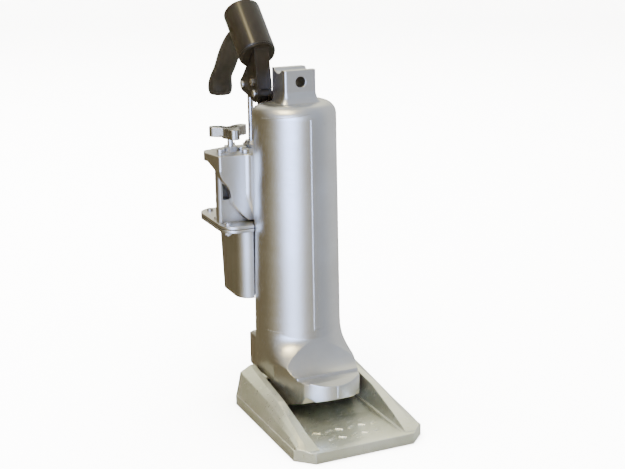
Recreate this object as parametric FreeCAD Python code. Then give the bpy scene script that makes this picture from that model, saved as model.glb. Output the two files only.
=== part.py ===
import FreeCAD, Part
import os
from math import cos, sin, radians, pi

os.makedirs("parts", exist_ok=True)
V = FreeCAD.Vector

# Hand-pumped hydraulic toe jack.  Millimetres, +Z up, toe towards -Y, pump on the -X side.
# The origin is on the ram's axis, on the underside of the base.

# ---------------------------------------------------------------- driving dimensions
# base
BASE_HALF_WIDTH = 79.0
BASE_FRONT_Y = -186.0
BASE_CORNER = 19.0
CHEEK_REAR_Y = 9.0
BASE_REAR_Y = 56.0
BASE_REAR_HALF = 46.0
LIP_Z = 12.4
FLOOR_FRONT_Y = -178.0
FLOOR_FOLD_Y = -95.0
FLOOR_FOLD_Z = 7.0
CHANNEL_HALF = 52.0
SEAT_RADIUS = 30.0
SEAT_TOP_Z = 37.0
LOCK_PIN_R = 3.0
LOCK_PIN_Z = 25.0

# ram, piston and cylinder
RAM_RADIUS = 17.5
RAM_FOOT_Z = 8.0
BORE_RADIUS = 22.5
BARREL_RADIUS = 30.0
BARREL_BOTTOM_Z = 44.0
BARREL_TOP_Z = 345.0
PISTON_BOTTOM_Z = 320.0
PISTON_TOP_Z = 338.0
SPIGOT_RADIUS = 10.0
PISTON_BOLT_R = 4.0
SEAL_DEPTH_R = BORE_RADIUS - 3.5
SEAL_Z = PISTON_BOTTOM_Z + 6.0
SEAL_HEIGHT = 6.0
BUSH_Z = (54.0, 80.0)
WIPER_Z = 49.0
RUNNING_FIT = 0.05

# lifting housing
HOUSING_BOTTOM_Z = 41.0
HOUSING_R_BOTTOM = 51.5
HOUSING_R_TOP = 48.8
SHOULDER_Z = 351.0
SHOULDER_ROUND = 15.0
CORE_RADIUS = 41.0
CORE_BOTTOM_Z = 56.0
CORE_TOP_Z = 335.0
LUG_HALF_X = 19.5
LUG_HALF_Y = 19.8
LUG_TOP_Z = 403.6
LUG_HOLE_Z = 390.3
LUG_HOLE_R = 6.3
FOOT_HALF_X = 50.0
FOOT_REAR_Y = 32.0
FOOT_TOP_Z = 83.0
TOE_FRONT_Y = -115.0
PAD_Z = 56.5
TOE_TIP_TOP_Z = 54.0
TOE_TIP_BOTTOM_Z = 38.0
TOE_ROOT_Y = -46.0
TOE_ROOT_Z = 14.5
REAR_RIDGE = (-84.6, 59.6)
FRONT_RIDGE = (-103.5, 57.6)

# pump shelf, pump block and reservoir
SHELF_LEFT_X = -85.0
SHELF_FRONT_Y = 24.0
SHELF_TOP_Z = 303.0
SHELF_BOTTOM_Z = 284.0
BLOCK_FRONT_Y = 31.5
BLOCK_BOTTOM_Z = 221.0
SLEEVE_GAP_R = 51.0
PLATE = 3.5
GASKET = 0.8
NIPPLE_R = 4.0
NIPPLE_Z = 262.0
NIPPLE_TURN = radians(135)
BLOCK_SCREWS = [(-75, 47.5), (-50, 77), (-14.5, 76), (-49, 34)]
FILLER_X, FILLER_Y = -46.0, 54.0
FILLER_R = 4.0
TANK_BOTTOM_Z = 129.0
TANK_WALL = 2.6
FLANGE_BOX = (-86.5, -16.0, 7.0, 108.0)
TANK_TOP_BOX = (-68.0, -24.0, 10.0, 92.0)
TANK_FOOT_BOX = (-67.0, -28.0, 14.0, 85.0)
TANK_CORNER = 18.0
TANK_SCREWS = [(-77.5, 22), (-78.5, 56), (-73, 97), (-48, 100.5), (-25, 97)]
TANK_SCREW_R = 2.0
COVER_Z = BLOCK_BOTTOM_Z - PLATE
GASKET_Z = COVER_Z - GASKET
FLANGE_Z = GASKET_Z - PLATE

# release valve
VALVE_X, VALVE_Y = -61.5, 49.5
STEM_RADIUS = 3.5
KNOB_Z0, KNOB_Z1 = 319.0, 332.0
KNOB_REACH = 19.0
KNOB_LOBE_R = 6.2
KNOB_PIN_R = 1.2
KNOB_PIN_Z = KNOB_Z0 + 2.2

# lever linkage: the pivot's middle, then the other pins in the lever's own plane from it
PIVOT = (-29.1, 27.1, 373.2)
CRANK = (37.4, 5.9)
BOLT = (3.3, 13.0)
YOKE_HALF = 8.9
YOKE_PLATE = 4.0
PIN_R = 3.0
BOLT_R = 2.5
EYE_SHANK_R = 3.9
SOCKET_ANGLE = 43.0
SOCKET_FOOT = (11.1, 44.0)
SOCKET_RADIUS = 22.0
SOCKET_BORE_R = 17.0
SOCKET_LENGTH = 66.0
SOCKET_DEPTH = 58.0
SLOT_SHIFT = -1.3
SLOT_HALF = 2.3
PIN_CLEARANCE = 0.4

PLUNGER_X = PIVOT[0]
PLUNGER_Y = PIVOT[1] + CRANK[0]
PLUNGER_R = 3.5
PLUNGER_FOOT_Z = 262.0


# ---------------------------------------------------------------- small makers
def box(x0, x1, y0, y1, z0, z1):
    return Part.makeBox(x1 - x0, y1 - y0, z1 - z0, V(x0, y0, z0))


def cyl(radius, z0, z1, x=0.0, y=0.0):
    return Part.makeCylinder(radius, z1 - z0, V(x, y, z0))


def ring(r_out, r_in, z0, z1, x=0.0, y=0.0):
    return cyl(r_out, z0, z1, x, y).cut(cyl(r_in, z0 - 1, z1 + 1, x, y))


def rod_x(radius, x0, x1, y, z):
    return Part.makeCylinder(radius, x1 - x0, V(x0, y, z), V(1, 0, 0))


def rod_y(radius, y0, y1, x, z):
    return Part.makeCylinder(radius, y1 - y0, V(x, y0, z), V(0, 1, 0))


def wire(points, closed=True):
    pts = [V(*p) for p in points]
    if closed:
        pts.append(pts[0])
    return Part.makePolygon(pts)


def prism_x(outline, x0, x1):
    """A flat outline of (y, z) points pushed along X."""
    face = Part.Face(wire([(x0, y, z) for y, z in outline]))
    return face.extrude(V(x1 - x0, 0, 0))


def prism_z(outline, z0, z1):
    """A flat outline of (x, y) points pushed up along Z."""
    face = Part.Face(wire([(x, y, z0) for x, y in outline]))
    return face.extrude(V(0, 0, z1 - z0))


def hexagon(flats, z0, z1, x, y, turn=0.0):
    reach = flats / 2 / cos(pi / 6)
    corners = [radians(60 * i + turn) for i in range(6)]
    return prism_z([(x + reach * cos(a), y + reach * sin(a)) for a in corners], z0, z1)


def hexagon_x(flats, x0, x1, y, z):
    reach = flats / 2 / cos(pi / 6)
    corners = [radians(60 * i) for i in range(6)]
    return prism_x([(y + reach * cos(a), z + reach * sin(a)) for a in corners], x0, x1)


def rounded_wire(x0, x1, y0, y1, radius, z):
    """A rounded rectangle at height z."""
    k = radius * (1 - cos(pi / 4))
    corners = [
        (V(x0, y0 + radius, z), V(x0 + k, y0 + k, z), V(x0 + radius, y0, z)),
        (V(x1 - radius, y0, z), V(x1 - k, y0 + k, z), V(x1, y0 + radius, z)),
        (V(x1, y1 - radius, z), V(x1 - k, y1 - k, z), V(x1 - radius, y1, z)),
        (V(x0 + radius, y1, z), V(x0 + k, y1 - k, z), V(x0, y1 - radius, z)),
    ]
    edges = []
    for i, (start, middle, end) in enumerate(corners):
        edges.append(Part.Arc(start, middle, end).toShape())
        edges.append(Part.LineSegment(end, corners[(i + 1) % 4][0]).toShape())
    return Part.Wire(edges)


def fuse(first, *others):
    return first.fuse(list(others)).removeSplitter()


def lever_arc(centre, radius, start, end, steps=6):
    """Points of an arc in the lever's plane, angles in degrees."""
    angles = [radians(start + (end - start) * i / steps) for i in range(steps + 1)]
    return [(centre[0] + radius * cos(a), centre[1] + radius * sin(a)) for a in angles]


def at_pivot(outline):
    return [(PIVOT[1] + y, PIVOT[2] + z) for y, z in outline]


def save(name, shape):
    if shape.isNull() or not shape.isValid():
        print("BAD SHAPE", name)
    shape.exportStep("parts/%s.step" % name)
    print("%-18s solids %d  volume %9.0f mm3" % (name, len(shape.Solids), shape.Volume))


# ---------------------------------------------------------------- base
def cheek():
    """The left cheek wall: sections from the rear end to the front lip, ruled between."""
    outer = -BASE_HALF_WIDTH
    stations = [
        (CHEEK_REAR_Y, 10.0, (-74.5, 30.0), (-72.5, 40.0), (-60.0, 47.0), (-54.0, 47.5), -52.0),
        (-88.0, 10.0, (-74.5, 25.0), (-70.0, 31.0), (-64.0, 37.0), (-56.0, 36.5), -51.0),
        (-146.0, 10.0, (-75.0, 19.0), (-71.0, 21.5), (-66.0, 23.0), (-55.0, 21.5), -50.5),
        (-180.0, 10.0, (-76.5, 12.6), (-72.0, 12.8), (-66.0, 12.9), (-53.0, 12.8), -50.0),
    ]
    sections = []
    for y, edge, low, mid, top, inner, foot in stations:
        points = [(outer, edge), low, mid, top, inner, (foot, 5.0), (outer, 5.0)]
        sections.append(wire([(x, y, z) for x, z in points]))
    return Part.makeLoft(sections, True, True)


def base_casting():
    front, half, corner = BASE_FRONT_Y, BASE_HALF_WIDTH, BASE_CORNER
    outline = [
        (-half, CHEEK_REAR_Y), (-half, front + corner), (-half + corner, front),
        (half - corner, front), (half, front + corner), (half, CHEEK_REAR_Y),
        (BASE_REAR_HALF, BASE_REAR_Y), (-BASE_REAR_HALF, BASE_REAR_Y),
    ]
    plate = prism_z(outline, 0, LIP_Z)
    left = cheek().common(prism_z(outline, 0, 60))
    right = left.mirror(V(0, 0, 0), V(1, 0, 0))
    floor = [
        (FLOOR_FRONT_Y, LIP_Z + 0.01), (FLOOR_FOLD_Y, FLOOR_FOLD_Z), (-34, 9.0),
        (-34, 60), (FLOOR_FRONT_Y, 60),
    ]
    pocket = prism_x(floor, -CHANNEL_HALF + 2, CHANNEL_HALF - 2)
    rear_pad = prism_z([(-50, -34), (50, -34), (50, CHEEK_REAR_Y), (44, 50), (-44, 50),
                        (-50, CHEEK_REAR_Y)], 9, 20)
    seat = cyl(SEAT_RADIUS, 0, SEAT_TOP_Z)
    seat = seat.makeChamfer(2.0, [e for e in seat.Edges if abs(e.CenterOfMass.z - SEAT_TOP_Z) < 1
                                  and e.Length > 50])
    webs = [prism_z([(-3, 28), (3, 28), (3, 52), (-3, 52)], 15, 31),
            prism_z([(28, -3), (51, -3), (51, 3), (28, 3)], 15, 30),
            prism_z([(-51, -3), (-28, -3), (-28, 3), (-51, 3)], 15, 30)]
    body = plate.cut(pocket).fuse([left, right, rear_pad, seat] + webs)
    body = body.cut(cyl(RAM_RADIUS, RAM_FOOT_Z, SEAT_TOP_Z + 5))
    body = body.cut(rod_x(LOCK_PIN_R, -SEAT_RADIUS - 26, SEAT_RADIUS + 26, 0, LOCK_PIN_Z))
    # two rows of raised grip bars on the sloping front of the floor
    slope = (LIP_Z - FLOOR_FOLD_Z) / (FLOOR_FOLD_Y - FLOOR_FRONT_Y)
    for row, y in enumerate((-132.0, -156.0)):
        for i in range(6 - row):
            x = -35 + 14 * i + 7 * row
            z = FLOOR_FOLD_Z + slope * (FLOOR_FOLD_Y - y)
            bar = box(x - 4.5, x + 4.5, y - 1.4, y + 1.4, z - 2, z + 1.1)
            bar.rotate(V(x, y, z), V(0, 0, 1), 35 if (i + row) % 2 else -35)
            body = body.fuse(bar)
    return body.removeSplitter()


def ram_lock_pin():
    return rod_x(LOCK_PIN_R, -SEAT_RADIUS + 2, SEAT_RADIUS - 2, 0, LOCK_PIN_Z)


def ram_post():
    post = cyl(RAM_RADIUS, RAM_FOOT_Z, PISTON_BOTTOM_Z)
    post = post.cut(rod_x(LOCK_PIN_R, -RAM_RADIUS - 1, RAM_RADIUS + 1, 0, LOCK_PIN_Z))
    spigot = cyl(SPIGOT_RADIUS, PISTON_BOTTOM_Z, PISTON_TOP_Z - 5)
    post = post.fuse(spigot).cut(cyl(PISTON_BOLT_R, PISTON_BOTTOM_Z - 20, PISTON_TOP_Z))
    return post.removeSplitter()


def piston_head():
    head = cyl(BORE_RADIUS - RUNNING_FIT, PISTON_BOTTOM_Z, PISTON_TOP_Z)
    head = head.cut(cyl(SPIGOT_RADIUS, PISTON_BOTTOM_Z - 1, PISTON_TOP_Z - 5))
    head = head.cut(cyl(PISTON_BOLT_R + 0.2, PISTON_TOP_Z - 6, PISTON_TOP_Z + 1))
    groove = ring(BORE_RADIUS + 1, SEAL_DEPTH_R, SEAL_Z, SEAL_Z + SEAL_HEIGHT)
    return head.cut(groove)


def piston_seal():
    return ring(BORE_RADIUS - RUNNING_FIT, SEAL_DEPTH_R, SEAL_Z + 0.1, SEAL_Z + SEAL_HEIGHT - 0.1)


def piston_bolt():
    shank = cyl(PISTON_BOLT_R, PISTON_BOTTOM_Z - 19, PISTON_TOP_Z)
    return fuse(shank, hexagon(13.0, PISTON_TOP_Z, PISTON_TOP_Z + 5, 0, 0))


# ---------------------------------------------------------------- lifting housing
def sleeve():
    """Tapered round sleeve with a rounded shoulder, turned about Z."""
    top_z = SHOULDER_Z + SHOULDER_ROUND
    inner = HOUSING_R_TOP - SHOULDER_ROUND
    k = SHOULDER_ROUND * cos(pi / 4)
    edges = [
        Part.LineSegment(V(0, 0, HOUSING_BOTTOM_Z), V(HOUSING_R_BOTTOM, 0, HOUSING_BOTTOM_Z)),
        Part.LineSegment(V(HOUSING_R_BOTTOM, 0, HOUSING_BOTTOM_Z), V(HOUSING_R_TOP, 0, SHOULDER_Z)),
        Part.Arc(V(HOUSING_R_TOP, 0, SHOULDER_Z), V(inner + k, 0, SHOULDER_Z + k),
                 V(inner, 0, top_z)),
        Part.LineSegment(V(inner, 0, top_z), V(0, 0, top_z)),
        Part.LineSegment(V(0, 0, top_z), V(0, 0, HOUSING_BOTTOM_Z)),
    ]
    face = Part.Face(Part.Wire([e.toShape() for e in edges]))
    return face.revolve(V(0, 0, 0), V(0, 0, 1), 360)


def head_lug():
    lug = box(-LUG_HALF_X, LUG_HALF_X, -LUG_HALF_Y, LUG_HALF_Y, SHOULDER_Z, LUG_TOP_Z)
    upright = [e for e in lug.Edges if abs(e.tangentAt(e.FirstParameter).z) > 0.9]
    lug = lug.makeFillet(2.5, upright)
    saddle_r = 14.0
    saddle = rod_x(saddle_r, -30, 30, 0, LUG_TOP_Z - 5.0 + saddle_r)
    # the root spreads into the shoulder in a hollow curve
    root = []
    for spread, z in ((12.0, 361.0), (6.5, 365.0), (2.6, 370.0), (0.6, 376.0), (-0.5, 381.0)):
        hx, hy = LUG_HALF_X + spread, LUG_HALF_Y + spread
        root.append(rounded_wire(-hx, hx, -hy, hy, 3.0 + spread * 0.9, z))
    return lug.cut(saddle).fuse(Part.makeLoft(root, True, False))


def flare_wire(half, depth, power, z, back=-4.0):
    """Front half of a superellipse, closed by a straight back line."""
    steps = 16
    points = []
    for i in range(steps + 1):
        a = pi * i / steps
        c, s = cos(a), max(sin(a), 0.0)
        x = half * (1 if c >= 0 else -1) * abs(c) ** (2 / power)
        points.append(V(x, back - depth * s ** (2 / power), z))
    curve = Part.BSplineCurve()
    curve.interpolate(points)
    return Part.Wire([curve.toShape(), Part.LineSegment(points[-1], points[0]).toShape()])


def toe_relief():
    """The rising cut that thins the toe's underside towards its right front corner.
    Sections are (x, z), from nothing behind to the full cut at the tip."""
    start = [(52, 0), (60, 0), (60, 20), (52, 12)]
    full = [(14, 0), (60, 0), (60, 54), (14, 30)]
    sections = [wire([(x, y, z) for x, z in shape])
                for y, shape in ((-78, start), (-100, full), (-125, full))]
    return Part.makeLoft(sections, True, True)


def toe():
    """The flare round the foot and the toe itself, cut to one side profile and one plan."""
    flare = Part.makeLoft([
        flare_wire(50.2, 46.3, 2.0, 99), flare_wire(50.3, 47.6, 2.1, 89),
        flare_wire(50.4, 58.0, 2.4, 78), flare_wire(50.6, 95.0, 3.4, 62),
        flare_wire(50.6, 110.0, 4.5, 40),
    ], True, False)
    plan_edges = [
        Part.LineSegment(V(-51, 0, 10), V(-51, -40, 10)),
        Part.LineSegment(V(-51, -40, 10), V(-45.5, -60, 10)),
        Part.LineSegment(V(-45.5, -60, 10), V(-38.5, -86, 10)),
        Part.LineSegment(V(-38.5, -86, 10), V(-35.2, -97.5, 10)),
        Part.Arc(V(-35.2, -97.5, 10), V(0, TOE_FRONT_Y, 10), V(35.2, -97.5, 10)),
        Part.LineSegment(V(35.2, -97.5, 10), V(38.5, -86, 10)),
        Part.LineSegment(V(38.5, -86, 10), V(45.5, -60, 10)),
        Part.LineSegment(V(45.5, -60, 10), V(51, -40, 10)),
        Part.LineSegment(V(51, -40, 10), V(51, 0, 10)),
        Part.LineSegment(V(51, 0, 10), V(-51, 0, 10)),
    ]
    plan = Part.Face(Part.Wire([e.toShape() for e in plan_edges])).extrude(V(0, 0, 110))
    y1, z1 = REAR_RIDGE
    y2, z2 = FRONT_RIDGE
    side = [
        Part.LineSegment(V(0, -4, 112), V(0, -50.6, 112)),
        Part.LineSegment(V(0, -50.6, 112), V(0, -51.2, 90)),
        Part.Arc(V(0, -51.2, 90), V(0, -62.5, 70.0), V(0, y1 + 1.2, z1 - 0.9)),
        Part.LineSegment(V(0, y1 + 1.2, z1 - 0.9), V(0, y1 + 1.2, z1)),
        Part.LineSegment(V(0, y1 + 1.2, z1), V(0, y1 - 1.2, z1 - 0.3)),
        Part.LineSegment(V(0, y1 - 1.2, z1 - 0.3), V(0, y1 - 2.0, PAD_Z)),
        Part.LineSegment(V(0, y1 - 2.0, PAD_Z), V(0, y2 + 1.2, PAD_Z)),
        Part.LineSegment(V(0, y2 + 1.2, PAD_Z), V(0, y2 + 1.0, z2)),
        Part.LineSegment(V(0, y2 + 1.0, z2), V(0, y2 - 1.2, z2 - 0.3)),
        Part.LineSegment(V(0, y2 - 1.2, z2 - 0.3), V(0, TOE_FRONT_Y, TOE_TIP_TOP_Z)),
        Part.LineSegment(V(0, TOE_FRONT_Y, TOE_TIP_TOP_Z), V(0, TOE_FRONT_Y, TOE_TIP_BOTTOM_Z)),
        Part.LineSegment(V(0, TOE_FRONT_Y, TOE_TIP_BOTTOM_Z), V(0, TOE_ROOT_Y, TOE_ROOT_Z)),
        Part.LineSegment(V(0, TOE_ROOT_Y, TOE_ROOT_Z), V(0, -36, TOE_ROOT_Z + 3)),
        Part.LineSegment(V(0, -36, TOE_ROOT_Z + 3), V(0, -33.5, HOUSING_BOTTOM_Z)),
        Part.LineSegment(V(0, -33.5, HOUSING_BOTTOM_Z), V(0, -4, HOUSING_BOTTOM_Z)),
        Part.LineSegment(V(0, -4, HOUSING_BOTTOM_Z), V(0, -4, 112)),
    ]
    profile = Part.Face(Part.Wire([e.toShape() for e in side]))
    profile.translate(V(-60, 0, 0))
    profile = profile.extrude(V(120, 0, 0))
    low = prism_z([(-50, -4), (-50, -130), (50, -130), (50, -4)], 12, 64)
    body = flare.fuse(low).common(plan).common(profile)
    relief = toe_relief()
    body = body.cut([relief, relief.mirror(V(0, 0, 0), V(1, 0, 0))])
    rib = box(-0.8, 0.8, TOE_FRONT_Y - 0.6, TOE_FRONT_Y + 3,
              TOE_TIP_BOTTOM_Z + 1, TOE_TIP_TOP_Z - 0.3)
    return body.fuse(rib).removeSplitter()


def gusset_wire(y, shift_x, shift_z):
    """The gusset's outline across Y: a hollow curve down its free edge, closed inside the sleeve."""
    edge = [(-84.9, 285), (-79.5, 272), (-72.5, 261), (-70.2, 250), (-64.5, 239), (-49.5, 223)]
    points = [V(x + shift_x, y, z + shift_z) for x, z in edge]
    curve = Part.BSplineCurve()
    curve.interpolate(points)
    low, high = V(-30 + shift_x, y, 223 + shift_z), V(-30 + shift_x, y, 285 + shift_z)
    lines = [Part.LineSegment(points[-1], low), Part.LineSegment(low, high),
             Part.LineSegment(high, points[0])]
    return Part.Wire([curve.toShape()] + [line.toShape() for line in lines])


def shelf_and_gusset():
    """The cast shelf that carries the pump, and the gusset down its front."""
    plan = [(SHELF_LEFT_X, SHELF_FRONT_Y), (-30, SHELF_FRONT_Y), (-12, 30), (-12, 82),
            (-50, 82), (SHELF_LEFT_X - 3, 70), (SHELF_LEFT_X - 7, 58)]
    shelf = prism_z(plan, SHELF_BOTTOM_Z, SHELF_TOP_Z)
    upright = [e for e in shelf.Edges if abs(e.tangentAt(e.FirstParameter).z) > 0.9
               and e.CenterOfMass.x < -45]
    shelf = shelf.makeFillet(3.0, upright)
    top = [e for e in shelf.Edges if e.CenterOfMass.z > SHELF_TOP_Z - 0.1
           and e.CenterOfMass.x < -45]
    shelf = shelf.makeFillet(1.6, top)
    undercut = prism_x([(32, SHELF_BOTTOM_Z - 1), (36, SHELF_BOTTOM_Z + 2), (50, SHELF_BOTTOM_Z + 9),
                        (90, SHELF_BOTTOM_Z + 11), (90, SHELF_BOTTOM_Z - 1)], -95, -80)
    shelf = shelf.cut(undercut)
    gusset = Part.makeLoft([gusset_wire(SHELF_FRONT_Y, 0, 0),
                            gusset_wire(BLOCK_FRONT_Y - 0.5, -1.5, -1)], True, True)
    return shelf.fuse(gusset)


def lift_housing():
    body = sleeve()
    foot = box(-FOOT_HALF_X, FOOT_HALF_X, -14, FOOT_REAR_Y, HOUSING_BOTTOM_Z, FOOT_TOP_Z)
    crown = [e for e in foot.Edges if abs(e.CenterOfMass.z - FOOT_TOP_Z) < 0.1]
    foot = foot.makeChamfer(3.0, crown)
    body = body.fuse([foot, head_lug(), toe(), shelf_and_gusset()])
    ridge = box(-0.7, 0.7, -HOUSING_R_BOTTOM - 0.4, -40, 101, SHOULDER_Z + 2)
    taper = Part.makeCone(HOUSING_R_BOTTOM + 0.5, HOUSING_R_TOP + 0.5,
                          SHOULDER_Z - HOUSING_BOTTOM_Z, V(0, 0, HOUSING_BOTTOM_Z))
    body = body.fuse(ridge.common(taper))
    # cast pad on the right of the sleeve, where the mould was filled
    gate = prism_x([(44, 288), (51, 288), (51, 302), (49.6, 331), (44, 331)], -6, 6)
    gate.rotate(V(0, 0, 0), V(0, 0, 1), -90)
    body = body.fuse(gate)
    # seat for the lever's pivot beside the lug, with the yoke's swing cleared
    body = body.cut(box(-60, -LUG_HALF_X - 0.4, 9.0, 60, 358.5, 420))
    body = body.cut(rod_y(LUG_HOLE_R, -30, 30, 0, LUG_HOLE_Z))
    # inside: cylinder seat at the top, cored space round the barrel
    body = body.cut(cyl(BARREL_RADIUS, HOUSING_BOTTOM_Z - 2, BARREL_TOP_Z))
    body = body.cut(cyl(CORE_RADIUS, CORE_BOTTOM_Z - 15, CORE_TOP_Z))
    body = body.cut(cyl(EYE_SHANK_R + RUNNING_FIT, 345, 360, PIVOT[0], PIVOT[1]))
    body = body.cut(nipple_solid(NIPPLE_R))
    # shelf holes: plunger gland, release valve gland, filler
    body = body.cut(cyl(9.0, SHELF_BOTTOM_Z - 1, SHELF_TOP_Z + 5, PLUNGER_X, PLUNGER_Y))
    body = body.cut(cyl(7.0, SHELF_BOTTOM_Z - 1, SHELF_TOP_Z + 5, VALVE_X, VALVE_Y))
    body = body.cut(cyl(FILLER_R, SHELF_BOTTOM_Z - 1, SHELF_TOP_Z + 5, FILLER_X, FILLER_Y))
    for x, y in BLOCK_SCREWS:
        body = body.cut(cyl(2.6, SHELF_BOTTOM_Z - 1, SHELF_TOP_Z + 5, x, y))
    return body.removeSplitter()


def cylinder_barrel():
    return ring(BARREL_RADIUS, BORE_RADIUS, BARREL_BOTTOM_Z, BARREL_TOP_Z).cut(
        nipple_solid(NIPPLE_R)).cut(nipple_passage())


def barrel_seat_ring():
    return ring(CORE_RADIUS, BARREL_RADIUS, CORE_BOTTOM_Z - 12, CORE_BOTTOM_Z)


def ram_guide_bush():
    return ring(BORE_RADIUS, RAM_RADIUS + RUNNING_FIT, *BUSH_Z)


def rod_wiper():
    return ring(BORE_RADIUS - 0.5, RAM_RADIUS + 0.1, WIPER_Z, BUSH_Z[0])


def barrel_gland_nut():
    nut = ring(BORE_RADIUS, RAM_RADIUS + 1.0, BARREL_BOTTOM_Z, WIPER_Z)
    for i in range(4):
        a = radians(45 + 90 * i)
        nut = nut.cut(cyl(1.2, BARREL_BOTTOM_Z - 1, 46.5, 20.5 * cos(a), 20.5 * sin(a)))
    return nut


# ---------------------------------------------------------------- pump block and valves
def nipple_solid(radius):
    """The pressure nipple's cylinder, square to the sleeve, from the block into the barrel."""
    outward = V(cos(NIPPLE_TURN), sin(NIPPLE_TURN), 0)
    return Part.makeCylinder(radius, 34.0, outward * 26.0 + V(0, 0, NIPPLE_Z), outward)


def nipple_passage():
    outward = V(cos(NIPPLE_TURN), sin(NIPPLE_TURN), 0)
    return Part.makeCylinder(1.5, 44.0, outward * 18.0 + V(0, 0, NIPPLE_Z), outward)


def pressure_nipple():
    return nipple_solid(NIPPLE_R).cut(nipple_passage())


def pump_block():
    plan = [(SHELF_LEFT_X + 0.6, BLOCK_FRONT_Y), (-20, BLOCK_FRONT_Y), (-12, 45), (-12, 81),
            (-52, 81), (SHELF_LEFT_X + 0.6, 43)]
    block = prism_z(plan, BLOCK_BOTTOM_Z, SHELF_BOTTOM_Z)
    corner = [e for e in block.Edges if abs(e.tangentAt(e.FirstParameter).z) > 0.9
              and e.CenterOfMass.x < -80 and e.CenterOfMass.y < 35]
    block = block.makeChamfer(2.0, corner)
    block = block.cut(cyl(SLEEVE_GAP_R, 200, 300))
    # open recess in the front, beside the upright edge
    block = block.cut(box(-79.5, -66, BLOCK_FRONT_Y - 1, 43, 249, SHELF_BOTTOM_Z + 1))
    block = block.cut(cyl(6.5, 249, SHELF_BOTTOM_Z + 1, -66, 36.5))
    block = block.cut(cyl(9.0, 236, SHELF_BOTTOM_Z + 1, PLUNGER_X, PLUNGER_Y))
    block = block.cut(cyl(5.0, 270, SHELF_BOTTOM_Z + 1, VALVE_X, VALVE_Y))
    block = block.cut(cyl(STEM_RADIUS + 0.1, 252, 271, VALVE_X, VALVE_Y))
    block = block.cut(cyl(FILLER_R, BLOCK_BOTTOM_Z - 1, SHELF_BOTTOM_Z + 1, FILLER_X, FILLER_Y))
    block = block.cut(rod_y(4.5, 58, 85, -60, 240)).cut(rod_y(4.5, 66, 85, -36, 228))
    block = block.cut(nipple_solid(NIPPLE_R))
    for x, y in BLOCK_SCREWS:
        block = block.cut(cyl(2.6, 262, SHELF_BOTTOM_Z + 1, x, y))
    return block.removeSplitter()


def block_screws():
    screws = []
    for x, y in BLOCK_SCREWS:
        head = cyl(4.4, SHELF_TOP_Z, SHELF_TOP_Z + 4, x, y)
        head = head.cut(hexagon(4.0, SHELF_TOP_Z + 1.6, SHELF_TOP_Z + 5, x, y))
        screws.append(fuse(head, cyl(2.5, 264, SHELF_TOP_Z, x, y)))
    return Part.makeCompound(screws)


def pump_barrel():
    return ring(9.0, PLUNGER_R + RUNNING_FIT, 238, SHELF_TOP_Z - 5, PLUNGER_X, PLUNGER_Y)


def plunger_seal():
    return ring(8.5, PLUNGER_R + 0.1, SHELF_TOP_Z - 5, SHELF_TOP_Z - 0.2, PLUNGER_X, PLUNGER_Y)


def pump_gland_nut():
    nut = hexagon(20.0, SHELF_TOP_Z, SHELF_TOP_Z + 4, PLUNGER_X, PLUNGER_Y, 15)
    collar = Part.makeCone(9.2, 7.0, 4, V(PLUNGER_X, PLUNGER_Y, SHELF_TOP_Z + 4))
    return nut.fuse(collar).cut(cyl(PLUNGER_R + 0.15, 290, 320, PLUNGER_X, PLUNGER_Y))


def valve_gland_nut():
    nut = hexagon(15.0, SHELF_TOP_Z, SHELF_TOP_Z + 6.5, VALVE_X, VALVE_Y, 10)
    nut = nut.fuse(cyl(6.95, SHELF_BOTTOM_Z, SHELF_TOP_Z, VALVE_X, VALVE_Y))
    return nut.cut(cyl(STEM_RADIUS + RUNNING_FIT, 280, 320, VALVE_X, VALVE_Y))


def filler_plug():
    x, y = FILLER_X, FILLER_Y
    plug = fuse(cyl(6.0, SHELF_TOP_Z, SHELF_TOP_Z + 3.2, x, y),
                cyl(FILLER_R - 0.1, 292, SHELF_TOP_Z, x, y))
    return plug.cut(box(x - 7, x + 7, y - 0.7, y + 0.7, SHELF_TOP_Z + 1.8, SHELF_TOP_Z + 4))


def check_valve(x, z, y0):
    """A screwed check-valve cartridge with a hexagon socket."""
    body = rod_y(4.4, y0, 80.5, x, z)
    head = rod_y(6.2, 81.0, 84.0, x, z)
    neck = rod_y(4.4, 80.5, 81.0, x, z)
    socket = prism_x([(83, z - 2), (85, z - 2), (85, z + 2), (83, z + 2)], x - 2, x + 2)
    return body.fuse([neck, head]).cut(socket).removeSplitter()


# ---------------------------------------------------------------- reservoir
def flange_plate(z0, z1):
    x0, x1, y0, y1 = FLANGE_BOX
    plate = Part.Face(rounded_wire(x0, x1, y0, y1, 19.0, z0)).extrude(V(0, 0, z1 - z0))
    return plate.cut(cyl(SLEEVE_GAP_R, z0 - 1, z1 + 1))


def drill_screws(shape, z0, z1):
    for x, y in TANK_SCREWS:
        shape = shape.cut(cyl(TANK_SCREW_R + 0.1, z0, z1, x, y))
    return shape


def tank_solid(inset, bottom, top):
    x0, x1, y0, y1 = [v + s * inset for v, s in zip(TANK_TOP_BOX, (1, -1, 1, -1))]
    u0, u1, v0, v1 = [v + s * inset for v, s in zip(TANK_FOOT_BOX, (1, -1, 1, -1))]
    radius = TANK_CORNER - inset
    shell = Part.makeLoft([rounded_wire(u0, u1, v0, v1, radius, bottom),
                           rounded_wire(x0, x1, y0, y1, radius, top)], True, True)
    return shell.cut(cyl(SLEEVE_GAP_R + 0.2 + inset, bottom - 1, top + 1))


def reservoir_tank():
    outer = tank_solid(0.0, TANK_BOTTOM_Z, FLANGE_Z + 0.5)
    rim = flange_plate(FLANGE_Z, GASKET_Z)
    inner = tank_solid(TANK_WALL, TANK_BOTTOM_Z + TANK_WALL, GASKET_Z + 1)
    tank = outer.fuse(rim).cut(inner)
    return drill_screws(tank, FLANGE_Z - 1, GASKET_Z + 1).removeSplitter()


def tank_gasket():
    sheet = flange_plate(GASKET_Z, COVER_Z).cut(tank_solid(TANK_WALL, TANK_BOTTOM_Z, COVER_Z + 5))
    return drill_screws(sheet, GASKET_Z - 1, COVER_Z + 1)


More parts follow.
